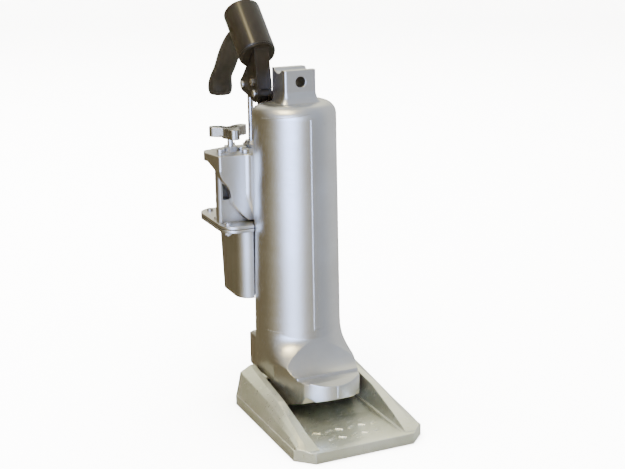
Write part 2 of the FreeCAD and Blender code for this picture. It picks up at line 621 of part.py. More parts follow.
def tank_cover():
    cover = flange_plate(COVER_Z, BLOCK_BOTTOM_Z)
    cover = cover.cut(cyl(FILLER_R, COVER_Z - 1, BLOCK_BOTTOM_Z + 1, FILLER_X, FILLER_Y))
    return drill_screws(cover, COVER_Z - 1, BLOCK_BOTTOM_Z + 1)


def tank_screws():
    screws = []
    for x, y in TANK_SCREWS:
        head = cyl(3.8, BLOCK_BOTTOM_Z, BLOCK_BOTTOM_Z + 2.4, x, y)
        slot = box(x - 5, x + 5, y - 0.5, y + 0.5, BLOCK_BOTTOM_Z + 1.4, BLOCK_BOTTOM_Z + 3)
        shank = cyl(TANK_SCREW_R, FLANGE_Z - 5.5, BLOCK_BOTTOM_Z, x, y)
        screws.append(fuse(head.cut(slot), shank))
    return Part.makeCompound(screws)


def tank_nuts():
    nuts = []
    for x, y in TANK_SCREWS:
        nut = hexagon(7.6, FLANGE_Z - 3.6, FLANGE_Z, x, y, 20)
        nuts.append(nut.cut(cyl(TANK_SCREW_R + RUNNING_FIT, FLANGE_Z - 5, FLANGE_Z + 1, x, y)))
    return Part.makeCompound(nuts)


# ---------------------------------------------------------------- release valve
def valve_stem():
    stem = cyl(STEM_RADIUS, 258, KNOB_Z1 - 2, VALVE_X, VALVE_Y)
    tip = Part.makeCone(0.8, STEM_RADIUS, 4, V(VALVE_X, VALVE_Y, 254))
    hole = rod_x(KNOB_PIN_R, VALVE_X - 5, VALVE_X + 5, VALVE_Y, KNOB_PIN_Z)
    return stem.fuse(tip).cut(hole).removeSplitter()


def valve_knob():
    """Three-lobed cast knob: a hub and three tapering arms with round ends."""
    knob = cyl(9.5, KNOB_Z0, KNOB_Z1, VALVE_X, VALVE_Y)
    for i in range(3):
        a = radians(-94.6 + 120 * i)
        tip = (VALVE_X + KNOB_REACH * cos(a), VALVE_Y + KNOB_REACH * sin(a))
        side = V(-sin(a), cos(a), 0)
        arm = [(VALVE_X + s * 7.5 * side.x, VALVE_Y + s * 7.5 * side.y) for s in (1, -1)]
        arm += [(tip[0] + s * KNOB_LOBE_R * side.x, tip[1] + s * KNOB_LOBE_R * side.y)
                for s in (-1, 1)]
        knob = knob.fuse([prism_z(arm, KNOB_Z0 + 1.5, KNOB_Z1),
                          cyl(KNOB_LOBE_R, KNOB_Z0 + 1.5, KNOB_Z1, *tip)])
    knob = knob.removeSplitter()
    dish = Part.makeSphere(60, V(VALVE_X, VALVE_Y, KNOB_Z1 + 58.6))
    knob = knob.cut(dish)
    knob = knob.cut(cyl(STEM_RADIUS, KNOB_Z0 - 1, KNOB_Z1 - 2, VALVE_X, VALVE_Y))
    return knob.cut(rod_x(KNOB_PIN_R, VALVE_X - 15, VALVE_X + 15, VALVE_Y, KNOB_PIN_Z))


def knob_pin():
    return rod_x(KNOB_PIN_R, VALVE_X - 8.6, VALVE_X + 8.6, VALVE_Y, KNOB_PIN_Z)


# ---------------------------------------------------------------- lever and plunger
def fulcrum_eye():
    """Eye bolt that carries the lever: a flat eye on a shank screwed into the shoulder."""
    x, y, z = PIVOT
    half = YOKE_HALF - YOKE_PLATE - 1.0
    eye = rod_x(6.6, x - half, x + half, y, z)
    neck = box(x - half, x + half, y - 5.2, y + 5.2, 358.5, z)
    body = eye.fuse([neck, cyl(EYE_SHANK_R, 347, 359, x, y)])
    return body.cut(rod_x(PIN_R + RUNNING_FIT, x - 10, x + 10, y, z)).removeSplitter()


def socket_axis():
    a = radians(SOCKET_ANGLE)
    return V(0, cos(a), sin(a))


def socket_foot():
    """The middle of the socket's closed end."""
    return V(PIVOT[0], PIVOT[1] + SOCKET_FOOT[0], PIVOT[2] + SOCKET_FOOT[1])


def along_foot(distance):
    """A point of the lever's plane on the socket's end face, rearwards from its middle."""
    a = radians(SOCKET_ANGLE)
    return (SOCKET_FOOT[0] + distance * sin(a), SOCKET_FOOT[1] - distance * cos(a))


def plate_outline():
    outline = lever_arc((0, 0), 10.7, 180, 285)
    outline += [(20, -6.0)]
    outline += lever_arc((39.0, 5.6), 8.0, -80, 75)
    return outline + [along_foot(19), along_foot(-17)]


def lever_yoke():
    x = PIVOT[0]
    inner = YOKE_HALF - YOKE_PLATE
    plates = [prism_x(at_pivot(plate_outline()), x + a, x + b)
              for a, b in ((-YOKE_HALF, -inner), (inner, YOKE_HALF))]
    front = along_foot(-17)
    guard = prism_x(at_pivot(lever_arc((0, 0), 10.7, 125, 196) + lever_arc((0, 0), 7.6, 196, 125)),
                    x - YOKE_HALF, x + YOKE_HALF)
    web = prism_x(at_pivot([(-10.7, 6.0), (-10.0, 11.0), front, (front[0] + 3.4, front[1] - 3.6),
                            (-5.6, 12.0), (-7.0, 6.0)]), x - YOKE_HALF, x + YOKE_HALF)
    pad = Part.makeCylinder(20.5, 3.0, socket_foot() - socket_axis() * 3.0, socket_axis())
    yoke = plates[0].fuse([plates[1], web, guard, pad])
    slot = box(x - inner, x + inner, PIVOT[1] - 4, PIVOT[1] + 40, PIVOT[2] - 15, PIVOT[2] + 60)
    tang_room = slot.common(prism_x(at_pivot([(-4, 12), (front[0] + 4.5, front[1] - 2), (30, 26),
                                              (30, 5)]), x - 10, x + 10))
    yoke = yoke.cut(tang_room)
    for y, z, r in ((0, 0, PIN_R), (BOLT[0], BOLT[1], BOLT_R), (CRANK[0], CRANK[1], PIN_R)):
        yoke = yoke.cut(rod_x(r, x - 15, x + 15, PIVOT[1] + y, PIVOT[2] + z))
    return yoke.removeSplitter()


def socket_tube():
    """The bar socket: a tube with a closed foot and a flat tang held in the yoke."""
    x = PIVOT[0]
    axis = socket_axis()
    foot = socket_foot()
    tube = Part.makeCylinder(SOCKET_RADIUS, SOCKET_LENGTH, foot, axis)
    rims = [e for e in tube.Edges if e.Length > 100]
    tube = tube.makeFillet(1.5, rims)
    bore = Part.makeCylinder(SOCKET_BORE_R, SOCKET_DEPTH + 1,
                             foot + axis * (SOCKET_LENGTH - SOCKET_DEPTH), axis)
    half = YOKE_HALF - YOKE_PLATE - 0.05
    root = [(y, z + 1.0) for y, z in (along_foot(7), along_foot(-8))]
    tang = prism_x(at_pivot(root + lever_arc(BOLT, 5.4, 190, 350)), x - half, x + half)
    hole = rod_x(BOLT_R, x - 15, x + 15, PIVOT[1] + BOLT[0], PIVOT[2] + BOLT[1])
    return tube.cut(bore).fuse(tang).cut(hole).removeSplitter()


def headed_pin(radius, head_r, offset):
    """A round pin through the yoke with a domed head on the left and a riveted end."""
    x, y, z = PIVOT[0], PIVOT[1] + offset[0], PIVOT[2] + offset[1]
    head = rod_x(head_r, x - YOKE_HALF - 2.6, x - YOKE_HALF, y, z)
    rim = [e for e in head.Edges if e.CenterOfMass.x < x - YOKE_HALF - 2 and e.Length > 5]
    head = head.makeFillet(1.6, rim)
    end = rod_x(head_r - 0.8, x + YOKE_HALF, x + YOKE_HALF + 1.6, y, z)
    return fuse(rod_x(radius, x - YOKE_HALF, x + YOKE_HALF, y, z), head, end)


def socket_bolt():
    x, y, z = PIVOT[0], PIVOT[1] + BOLT[0], PIVOT[2] + BOLT[1]
    return fuse(rod_x(BOLT_R, x - YOKE_HALF, x + YOKE_HALF, y, z),
                hexagon_x(8.0, x - YOKE_HALF - 3.2, x - YOKE_HALF, y, z),
                hexagon_x(8.0, x + YOKE_HALF, x + YOKE_HALF + 3.0, y, z))


# the hand grip's middle line in the lever's plane, with the grip's radius at each point
GRIP_LINE = [((65.0, 59.5), 11.5), ((77.5, 54.5), 12.8), ((92.0, 44.5), 13.3),
             ((107.0, 32.0), 13.2), ((121.0, 17.0), 12.9), ((132.5, 5.5), 12.8),
             ((140.0, -6.0), 14.8), ((142.5, -18.0), 14.6), ((142.7, -21.5), 12.8)]
GRIP_CORE = 0.42


def grip_section(index, scale):
    """A round section square to the grip's middle line."""
    points = [p for p, _ in GRIP_LINE]
    before = points[max(index - 1, 0)]
    after = points[min(index + 1, len(points) - 1)]
    along = V(0, after[0] - before[0], after[1] - before[1])
    (y, z), radius = GRIP_LINE[index]
    centre = V(PIVOT[0], PIVOT[1] + y, PIVOT[2] + z)
    return Part.Wire([Part.makeCircle(radius * scale, centre, along)])


def grip_tang():
    sections = [grip_section(i, GRIP_CORE) for i in range(len(GRIP_LINE) - 1)]
    core = Part.makeLoft(sections, True, False)
    root = V(PIVOT[0], PIVOT[1] + 41.0, PIVOT[2] + 44.0)
    neck = Part.makeLoft([Part.Wire([Part.makeCircle(8.5, root, V(0, 1, 0.6))]),
                          grip_section(0, GRIP_CORE)], True, True)
    clear = Part.makeCylinder(SOCKET_RADIUS, 200, socket_foot() - socket_axis() * 50, socket_axis())
    return core.fuse(neck).cut(clear).removeSplitter()


def hand_grip():
    body = Part.makeLoft([grip_section(i, 1.0) for i in range(len(GRIP_LINE))], True, False)
    clear = Part.makeCylinder(SOCKET_RADIUS + 0.4, 200, socket_foot() - socket_axis() * 50,
                              socket_axis())
    return body.cut(clear).cut(grip_tang())


def pump_plunger():
    """Plunger rod with a flat eye; the eye's slot takes up the arc of the crank pin."""
    x, y = PLUNGER_X, PLUNGER_Y
    z = PIVOT[2] + CRANK[1]
    half = YOKE_HALF - YOKE_PLATE - 0.5
    slot_y = y + SLOT_SHIFT
    eye = prism_x([(slot_y - 8.2, z - 5), (slot_y - 4.5, z - 8.2), (slot_y + 5.5, z - 8.2),
                   (slot_y + 8.6, z - 5), (slot_y + 8.6, z + 4), (slot_y + 5.5, z + 7),
                   (slot_y - 5.5, z + 7), (slot_y - 8.2, z + 4)], x - half, x + half)
    rod = cyl(PLUNGER_R, PLUNGER_FOOT_Z, z - 7, x, y)
    reach = PIN_R + PIN_CLEARANCE
    slot = box(x - 10, x + 10, slot_y - SLOT_HALF, slot_y + SLOT_HALF, z - reach, z + reach)
    slot = slot.fuse([rod_x(reach, x - 10, x + 10, slot_y + s * SLOT_HALF, z) for s in (-1, 1)])
    return eye.fuse(rod).cut(slot).removeSplitter()


# ---------------------------------------------------------------- write every piece
NODES = {
    "base_casting": base_casting, "ram_post": ram_post, "ram_lock_pin": ram_lock_pin,
    "piston_head": piston_head, "piston_seal": piston_seal, "piston_bolt": piston_bolt,
    "lift_housing": lift_housing, "cylinder_barrel": cylinder_barrel,
    "barrel_seat_ring": barrel_seat_ring, "ram_guide_bush": ram_guide_bush,
    "rod_wiper": rod_wiper, "barrel_gland_nut": barrel_gland_nut,
    "pump_block": pump_block, "block_screws": block_screws, "pressure_nipple": pressure_nipple,
    "pump_barrel": pump_barrel, "plunger_seal": plunger_seal, "pump_gland_nut": pump_gland_nut,
    "valve_gland_nut": valve_gland_nut, "filler_plug": filler_plug,
    "suction_valve": lambda: check_valve(-36, 228, 66.2),
    "delivery_valve": lambda: check_valve(-60, 240, 58.2),
    "tank_cover": tank_cover, "tank_gasket": tank_gasket, "reservoir_tank": reservoir_tank,
    "tank_screws": tank_screws, "tank_nuts": tank_nuts,
    "valve_stem": valve_stem, "valve_knob": valve_knob, "knob_pin": knob_pin,
    "fulcrum_eye": fulcrum_eye, "lever_yoke": lever_yoke, "socket_tube": socket_tube,
    "socket_bolt": socket_bolt,
    "fulcrum_pin": lambda: headed_pin(PIN_R, 4.4, (0, 0)),
    "crank_pin": lambda: headed_pin(PIN_R, 4.2, CRANK),
    "grip_tang": grip_tang, "hand_grip": hand_grip, "pump_plunger": pump_plunger,
}
for node_name, maker in NODES.items():
    save(node_name, maker())
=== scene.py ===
import bmesh
import bpy
import math
import numpy as np
from mathutils import Matrix, Vector


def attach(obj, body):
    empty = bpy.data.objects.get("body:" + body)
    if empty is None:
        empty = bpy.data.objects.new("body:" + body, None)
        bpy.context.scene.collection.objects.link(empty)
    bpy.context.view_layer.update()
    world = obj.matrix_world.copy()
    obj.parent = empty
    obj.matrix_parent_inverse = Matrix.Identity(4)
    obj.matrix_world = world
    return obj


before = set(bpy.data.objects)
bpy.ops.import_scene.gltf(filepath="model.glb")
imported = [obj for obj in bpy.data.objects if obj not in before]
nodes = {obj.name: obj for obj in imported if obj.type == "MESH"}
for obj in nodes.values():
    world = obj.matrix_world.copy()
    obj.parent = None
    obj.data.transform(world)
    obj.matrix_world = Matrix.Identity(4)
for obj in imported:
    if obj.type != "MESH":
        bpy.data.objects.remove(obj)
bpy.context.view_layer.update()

# ------------------------------------------------------------------ lifting housing
# One sand casting: round sleeve, head lug, foot, toe and pump shelf. Cast aluminium, fettled by
# hand and sprayed with satin silver paint, so its skin is softly uneven and fine-grained.


class Socket:
    """A shader socket that can be used in ordinary sums: each sign adds its Math node."""

    def __init__(self, tree, out):
        self.tree = tree
        self.out = out

    def node(self, kind, settings, values, output=0):
        """Adds any other node: its settings first, then the values or links of its inputs."""
        made = self.tree.nodes.new(kind)
        stops = settings.pop("stops", None)
        for key, value in settings.items():
            setattr(made, key, value)
        if stops:
            ramp = made.color_ramp
            while len(ramp.elements) < len(stops):
                ramp.elements.new(0.5)
            for element, (place, colour) in zip(ramp.elements, stops):
                element.position = place
                element.color = (*colour, 1.0)
        for key, value in values.items():
            target = made.inputs[key]
            if isinstance(value, Socket):
                self.tree.links.new(value.out, target)
            else:
                target.default_value = value
        return Socket(self.tree, made.outputs[output])

    def math(self, operation, *values):
        return self.node("ShaderNodeMath", {"operation": operation}, dict(enumerate(values)))

    def __add__(self, other):
        return self.math("ADD", self, other)

    __radd__ = __add__

    def __mul__(self, other):
        return self.math("MULTIPLY", self, other)

    __rmul__ = __mul__

    def __sub__(self, other):
        return self.math("SUBTRACT", self, other)

    def __rsub__(self, other):
        return self.math("SUBTRACT", other, self)

    def between(self, low, high):
        """0 below low, 1 above high and a smooth rise between them."""
        return self.node("ShaderNodeMapRange", {"interpolation_type": "SMOOTHSTEP"},
                         {"Value": self, "From Min": low, "From Max": high})

    def tint(self, first, second):
        """A colour that runs from first at 0 to second at 1."""
        values = {"Factor": self}
        for key, colour in ((6, first), (7, second)):
            values[key] = colour if isinstance(colour, Socket) else (*colour, 1.0)
        return self.node("ShaderNodeMix", {"data_type": "RGBA"}, values, 2)


def new_finish(name):
    """An empty material: returns it, its Principled shader and its object coordinates."""
    material = bpy.data.materials.new(name)
    material.use_nodes = True
    tree = material.node_tree
    shader = tree.nodes["Principled BSDF"]
    place = tree.nodes.new("ShaderNodeTexCoord")
    return material, shader, Socket(tree, place.outputs["Object"])


def feed(shader, **inputs):
    """Links sockets and sets plain values on the Principled shader."""
    for key, value in inputs.items():
        socket = shader.inputs[key.replace("_", " ")]
        if isinstance(value, Socket):
            value.tree.links.new(value.out, socket)
        elif isinstance(value, tuple):
            socket.default_value = (*value, 1.0)
        else:
            socket.default_value = value


def grain(place, scale, detail=3.0, rough=0.55):
    """Cloudy noise from 0 to 1; scale is how many clouds go to a metre."""
    return place.node("ShaderNodeTexNoise", {}, {"Vector": place, "Scale": scale,
                                                 "Detail": detail, "Roughness": rough})


def stretched(place, x, y, z):
    """The coordinates squeezed along the axes, so that a pattern is drawn out along the others."""
    return place.node("ShaderNodeVectorMath", {"operation": "MULTIPLY"}, {0: place, 1: (x, y, z)})


def bump(field, distance, strength=1.0, under=None):
    """Turns a field into relief of the given depth in metres, on top of the relief under it."""
    values = {"Height": field, "Distance": distance, "Strength": strength}
    if under is not None:
        values["Normal"] = under
    return field.node("ShaderNodeBump", {}, values)


def soft_edge(place, radius):
    """Rounds hard edges in the shading, as fettling and paint do."""
    return place.node("ShaderNodeBevel", {"samples": 6}, {"Radius": radius})


def worn_edges(place, radius):
    """1 on sharp edges, 0 on open faces: how far the rounded normal leaves the true one."""
    rounded = place.node("ShaderNodeBevel", {"samples": 6}, {"Radius": radius})
    true = place.node("ShaderNodeNewGeometry", {}, {}, 1)
    same = place.node("ShaderNodeVectorMath", {"operation": "DOT_PRODUCT"}, {0: rounded, 1: true}, 1)
    return (1 - same).between(0.02, 0.16)


def hollows(place, reach):
    """1 deep in creases and recesses, 0 on open faces, by how much of the sky a point sees."""
    seen = place.node("ShaderNodeAmbientOcclusion", {"samples": 6}, {"Distance": reach}, 1)
    return (1 - seen).between(0.25, 0.85)


def silver_paint(name, tone, shade, roughness, brush, metal=1.0):
    """Satin silver paint on a casting: tone drifts, fine orange peel, painted shade darkening the
    hollows and bright rubbed edges."""
    material, shader, place = new_finish(name)
    spot_cover = 0.35
    hollow_shade_cover = 0.75
    rubbed_cover = 0.7
    hollow_shade_brown = (0.16, 0.14, 0.10)
    bare_metal = (0.90, 0.90, 0.90)
    drift = grain(place, scale=9.0, detail=4.0)
    peel = grain(place, scale=900.0, detail=2.0, rough=0.6)
    sand = grain(place, scale=260.0, detail=4.0, rough=0.7)
    lines = grain(stretched(place, *brush), scale=40.0, detail=4.0, rough=0.7)
    colour = drift.between(0.35, 0.7).tint(shade, tone)
    spots = grain(place, scale=70.0, detail=5.0, rough=0.8).between(0.66, 0.74)
    colour = (spots * spot_cover).tint(colour, tuple(0.5 * c for c in shade))
    # Painted shade: colour darkened towards brown in creases and recesses, where less of the sky is
    # seen; the same mask also roughens them.
    hollow_shade = hollows(place, reach=0.018)
    colour = (hollow_shade * hollow_shade_cover).tint(colour, hollow_shade_brown)
    patches = grain(place, scale=120.0, detail=3.0).between(0.35, 0.6)
    rubbed = worn_edges(place, radius=0.0012) * patches
    colour = (rubbed * rubbed_cover).tint(colour, bare_metal)
    wear = lines.between(0.3, 0.75)
    edge = soft_edge(place, radius=0.0016)
    skin = bump(sand, distance=0.00016, strength=0.5, under=edge)
    skin = bump(lines, distance=0.00012, strength=0.22, under=skin)
    skin = bump(peel, distance=0.00005, strength=0.5, under=skin)
    feed(shader, Base_Color=colour, Metallic=metal,
         Roughness=wear * 0.10 + (sand * 0.08) + (hollow_shade * 0.2) + (roughness - 0.08), Normal=skin)
    return material


def dress(finish, *names):
    """Gives CAD nodes a finish in place of the plain one."""
    for name in names:
        for slot in nodes[name].material_slots:
            slot.link = "OBJECT"
            slot.material = finish


cast_skin = silver_paint("silver_casting", tone=(0.80, 0.81, 0.82), shade=(0.70, 0.69, 0.66),
                         roughness=0.36, brush=(1.0, 1.0, 14.0))
dress(cast_skin, "lift_housing")

# ------------------------------------------------------------------ parting seams
# Low raised seams round the left of the shoulder and at the foot of the front ridge, in the same
# casting: left where two halves of the mould met, and painted over with the rest.


def skin_rings(name, rings, closed=False):
    """Quads from each ring of points to the next; the last ring joins the first, or both are capped.
    rings is an array of rings by points by 3."""
    count, sides = rings.shape[:2]
    rows = np.arange(count if closed else count - 1)[:, None] * sides
    here = np.arange(sides)[None]
    beyond = (here + 1) % sides
    step = (rows + sides) % (count * sides)
    faces = np.stack([rows + here, step + here, step + beyond, rows + beyond], -1)
    faces = faces.reshape(-1, 4).tolist()
    if not closed:
        faces += [list(range(sides)), list(range((count - 1) * sides, count * sides))]
    mesh = bpy.data.meshes.new(name)
    mesh.from_pydata(rings.reshape(-1, 3).tolist(), [], faces)
    shell = bmesh.new()
    shell.from_mesh(mesh)
    bmesh.ops.recalc_face_normals(shell, faces=shell.faces)
    shell.to_mesh(mesh)
    shell.free()
    mesh.shade_smooth()
    return mesh


def tube_along(name, path, radius, sides=10, closed=False):
    """Circle of the given radius carried along a path: each ring stands square to the path, on two
    axes made from the path's direction and a fixed side axis. radius may vary along the path."""
    ahead = np.roll(path, -1, 0) - np.roll(path, 1, 0)
    if not closed:
        ahead[0] = path[1] - path[0]
        ahead[-1] = path[-1] - path[-2]
    ahead /= np.linalg.norm(ahead, axis=1)[:, None]
    side_axis = np.array([0.13, 0.21, 0.97])
    side = np.cross(ahead, side_axis)
    side /= np.linalg.norm(side, axis=1)[:, None]
    over = np.cross(side, ahead)
    around = np.linspace(0, 2 * math.pi, sides, endpoint=False)
    wide = np.broadcast_to(radius, (len(path),))[:, None, None]
    rings = path[:, None] + wide * (np.cos(around)[None, :, None] * side[:, None]
                                    + np.sin(around)[None, :, None] * over[:, None])
    return skin_rings(name, rings, closed)


def add_piece(name, mesh, finish, body):
    """Places a mesh at the origin, gives it its finish and lets it ride on a body."""
    piece = bpy.data.objects.new(name, mesh)
    bpy.context.collection.objects.link(piece)
    mesh.materials.append(finish)
    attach(piece, body)
    return piece


shoulder_z = 0.351
shoulder_round = 0.015
shoulder_r = 0.0488
foot_r = 0.0515
foot_z = 0.041


def sleeve_point(angle, z, proud):
    """A point on the sleeve's skin: straight taper below the shoulder, a quarter circle above."""
    taper = foot_r + (shoulder_r - foot_r) * (z - foot_z) / (shoulder_z - foot_z)
    drop = np.clip((z - shoulder_z) / shoulder_round, 0, 0.999)
    curve = shoulder_r - shoulder_round * (1 - np.sqrt(1 - drop ** 2))
    radius = np.where(z > shoulder_z, curve, taper) + proud
    return np.stack([radius * np.cos(angle), radius * np.sin(angle), z], -1)


seam_radius = 0.0005
ridge_turn = math.radians(269)
seam_points = 60
seam_low = 0.3515
seam_climb = 0.0065
seam_turn = np.linspace(math.radians(196), ridge_turn, seam_points)
seam_rise = seam_low + seam_climb * np.linspace(0, 1, seam_points) ** 1.5
seam_line = sleeve_point(seam_turn, seam_rise, proud=-0.0001)
shoulder_seam = tube_along("shoulder_seam", seam_line, seam_radius)
add_piece("shoulder_seam", shoulder_seam, cast_skin, "lift")

tick_points = 16
tick_z = 0.1015
tick_turn = np.linspace(ridge_turn, math.radians(282), tick_points)
tick_line = sleeve_point(tick_turn, np.full(tick_points, tick_z), proud=-0.0002)
seam_foot = tube_along("seam_foot", tick_line, seam_radius)
add_piece("seam_foot", seam_foot, cast_skin, "lift")

# ------------------------------------------------------------------ gusset blend
# Hollow blend in the corner between the gusset's face and the sleeve: part of the same casting,
# where the pattern maker filled the corner so that the metal runs in cleanly.


def corner_blend(name, low, high, face_y, radius):
    """For each height, an arc that touches the plane y = face_y and the round sleeve, closed by one
    point buried behind both. The arc's middle is radius off the plane and off the sleeve; the
    radius grows smoothly from nearly nothing at the low end."""
    growth_height = 0.034
    least_bend = 0.0008
    skin_lift = 0.0002
    z = np.linspace(low, high, 56)[:, None]
    grown = np.clip((z - low) / growth_height, 0, 1)
    bend = least_bend + (radius - least_bend) * grown ** 2 * (3 - 2 * grown)
    sleeve = foot_r + (shoulder_r - foot_r) * (z - foot_z) / (shoulder_z - foot_z)
    middle_y = face_y - bend
    middle_x = -np.sqrt((sleeve + bend) ** 2 - middle_y ** 2)
    last = np.arctan2(-middle_y, -middle_x)
    angle = math.pi / 2 + (last - math.pi / 2) * np.linspace(0, 1, 20)[None]
    arc = np.stack([middle_x + (bend + skin_lift) * np.cos(angle),
                    middle_y + (bend + skin_lift) * np.sin(angle), z + 0 * angle], -1)
    depth_in_gusset = 0.002
    depth_in_sleeve = 0.003
    buried_y = face_y + depth_in_gusset
    buried_x = -np.sqrt((sleeve - depth_in_sleeve) ** 2 - buried_y ** 2)
    buried = np.stack([buried_x, buried_y + 0 * z, z], -1)
    return skin_rings(name, np.concatenate([arc, buried], 1))


gusset_blend = corner_blend("gusset_blend", low=0.2235, high=0.3026, face_y=0.024, radius=0.008)
add_piece("gusset_blend", gusset_blend, cast_skin, "lift")

# ------------------------------------------------------------------ base
# A flat sand casting with two wedge-shaped side walls, which the ram is pinned into. It has the
# same silver paint, yellowed a little, with painted shade darkening its hollows.
base_skin = silver_paint("silver_base", tone=(0.86, 0.87, 0.74), shade=(0.68, 0.69, 0.54),
                         roughness=0.31, brush=(1.0, 12.0, 1.0), metal=0.965)
dress(base_skin, "base_casting")

# ------------------------------------------------------------------ pump block and tank
# Cast pump block, screwed up against the shelf, and a pressed steel tank whose flat flange is
# screwed to the cover plate under the block. Both are painted silver, a shade darker.
block_skin = silver_paint("silver_block", tone=(0.72, 0.72, 0.71), shade=(0.58, 0.57, 0.54),
                          roughness=0.38, brush=(12.0, 12.0, 1.0))
dress(block_skin, "pump_block", "tank_cover", "reservoir_tank")

# ------------------------------------------------------------------ release knob
# Three-lobed die-cast knob, tumbled and plated, and held on its stem by a cross pin. Turning it
# opens the valve that lets the load down.
knob_skin = silver_paint("plated_knob", tone=(0.58, 0.57, 0.56), shade=(0.44, 0.42, 0.39),
                         roughness=0.26, brush=(8.0, 8.0, 1.0))
dress(knob_skin, "valve_knob")


# ------------------------------------------------------------------ ground rods
# Ram, piston, cylinder, plunger, its barrel and the valve stem: bar and tube of steel, turned
# and ground, with the faint rings that the wheel leaves.
def turned_steel(name, tone, roughness):
    """Bright steel with fine rings square to the upright axis and a thin smear of oil."""
    material, shader, place = new_finish(name)
    rings = grain(stretched(place, 0.02, 0.02, 1.0), scale=1800.0, detail=2.0)
    smear = grain(place, scale=30.0, detail=3.0)
    feed(shader, Base_Color=smear.between(0.3, 0.8).tint(tone, tuple(0.8 * c for c in tone)),
         Metallic=1.0, Roughness=rings * 0.12 + (smear * 0.10) + (roughness - 0.1),
         Normal=bump(rings, distance=0.00003, strength=0.6, under=soft_edge(place, 0.0004)))
    return material


rod_steel = turned_steel("ground_steel", tone=(0.74, 0.74, 0.75), roughness=0.22)
dress(rod_steel, "ram_post", "piston_head", "cylinder_barrel", "pump_plunger", "valve_stem",
      "pump_barrel")


# ------------------------------------------------------------------ screws, nuts and pins
# Turned and headed steel, zinc plated: bright, with a little staining. The bush that guides the
# ram is turned from bronze and has the same kind of tool marks.
def zinc_plate(name, tone, stain, roughness):
    """Bright metal with clouds of stain and fine tool marks."""
    material, shader, place = new_finish(name)
    cloud = grain(place, scale=220.0, detail=4.0)
    tool = grain(place, scale=1400.0, detail=2.0)
    feed(shader, Base_Color=cloud.between(0.4, 0.75).tint(tone, stain), Metallic=1.0,
         Roughness=cloud * 0.16 + (roughness - 0.05),
         Normal=bump(tool, distance=0.00004, strength=0.6, under=soft_edge(place, 0.0005)))
    return material


fastener_zinc = zinc_plate("zinc_steel", tone=(0.72, 0.72, 0.72), stain=(0.50, 0.48, 0.44),
                           roughness=0.26)
dress(fastener_zinc, "ram_lock_pin", "piston_bolt", "barrel_gland_nut", "barrel_seat_ring",
      "block_screws", "pressure_nipple", "pump_gland_nut", "valve_gland_nut", "filler_plug",
      "suction_valve", "delivery_valve", "tank_screws", "tank_nuts", "knob_pin", "socket_bolt",
      "fulcrum_pin", "crank_pin")
bearing_bronze = zinc_plate("bearing_bronze", tone=(0.66, 0.46, 0.22), stain=(0.40, 0.27, 0.13),
                            roughness=0.32)
dress(bearing_bronze, "ram_guide_bush")


# ------------------------------------------------------------------ lever
# Steel fork, socket tube and grip arm, joined into one lever and dipped in gloss black enamel. The
# fork and the eye that it turns on are rubbed duller than the tube.
def black_enamel(name, tone, shade, roughness, coat=0.35, gloss=0.26):
    """Black enamel: a slow drift in tone, orange peel and fine scratches under a clear coat."""
    material, shader, place = new_finish(name)
    drift = grain(place, scale=22.0, detail=3.0)
    peel = grain(place, scale=420.0, detail=2.0)
    scratch = grain(stretched(place, 30.0, 1.0, 1.0), scale=60.0, detail=3.0, rough=0.8)
    scratch = scratch.between(0.6, 0.8)
    feed(shader, Base_Color=drift.between(0.3, 0.7).tint(shade, tone), Metallic=0.0,
         Roughness=scratch * 0.12 + (drift * 0.08) + roughness,
         Specular_IOR_Level=gloss, Coat_Weight=coat, Coat_Roughness=0.10,
         Normal=bump(peel, distance=0.00006, strength=0.5, under=soft_edge(place, 0.0012)))
    return material


lever_black = black_enamel("black_enamel", tone=(0.0055, 0.0042, 0.0022),
                           shade=(0.0035, 0.0026, 0.0014), roughness=0.26)
dress(lever_black, "socket_tube", "grip_tang")
fork_black = black_enamel("fork_enamel", tone=(0.0075, 0.0055, 0.0028),
                          shade=(0.0045, 0.0032, 0.0015), roughness=0.42, coat=0.05, gloss=0.16)
dress(fork_black, "lever_yoke", "fulcrum_eye")


# ------------------------------------------------------------------ socket weld
# Bead round the foot of the socket tube, where the tube is welded to the fork: a rippled fillet
# of weld metal, laid by hand, under the same enamel.
def weld_ring(centre, axis, radius, thick, ripples):
    """Circle of the given radius square to an axis, and a thickness for each of its points: the
    given one, swollen by up to a fifth or so where the sine of the turn times half the ripples is
    large, as a hand-laid bead is."""
    swelling = 0.22
    axis = np.array(axis) / np.linalg.norm(axis)
    first = np.cross(axis, np.array([1.0, 0.0, 0.0]))
    first /= np.linalg.norm(first)
    second = np.cross(axis, first)
    turn = np.linspace(0, 2 * math.pi, 240, endpoint=False)[:, None]
    path = np.array(centre) + radius * (np.cos(turn) * first + np.sin(turn) * second)
    beads = thick * (1 + swelling * np.abs(np.sin(turn[:, 0] * ripples / 2)))
    return path, beads


tube_tilt = math.radians(43.0)
tube_axis = (0.0, math.cos(tube_tilt), math.sin(tube_tilt))
tube_foot = np.array((-0.0291, 0.0382, 0.4172))
weld_centre = tube_foot - 0.0002 * np.array(tube_axis)
bead_path, bead_thick = weld_ring(weld_centre, tube_axis, radius=0.0206, thick=0.0010, ripples=46)
socket_weld = tube_along("socket_weld", bead_path, bead_thick, closed=True)
add_piece("socket_weld", socket_weld, lever_black, "lever")


# ------------------------------------------------------------------ hand grip and seals
# A moulded rubber grip pushed over the steel arm, and the rings and gasket that seal the oil in:
# matte, slightly dusty, with a fine moulding grain.
def moulded_rubber(name, tone, dust, roughness):
    """Matte rubber with fine pores and a film of dust in patches."""
    material, shader, place = new_finish(name)
    dust_cover = 0.6
    pore = grain(place, scale=1500.0, detail=3.0, rough=0.7)
    film = grain(place, scale=35.0, detail=4.0)
    feed(shader, Base_Color=(film.between(0.4, 0.8) * dust_cover).tint(tone, dust), Metallic=0.0,
         Roughness=film * 0.15 + (roughness - 0.07), Specular_IOR_Level=0.15,
         Normal=bump(pore, distance=0.00012, strength=0.7, under=soft_edge(place, 0.001)))
    return material


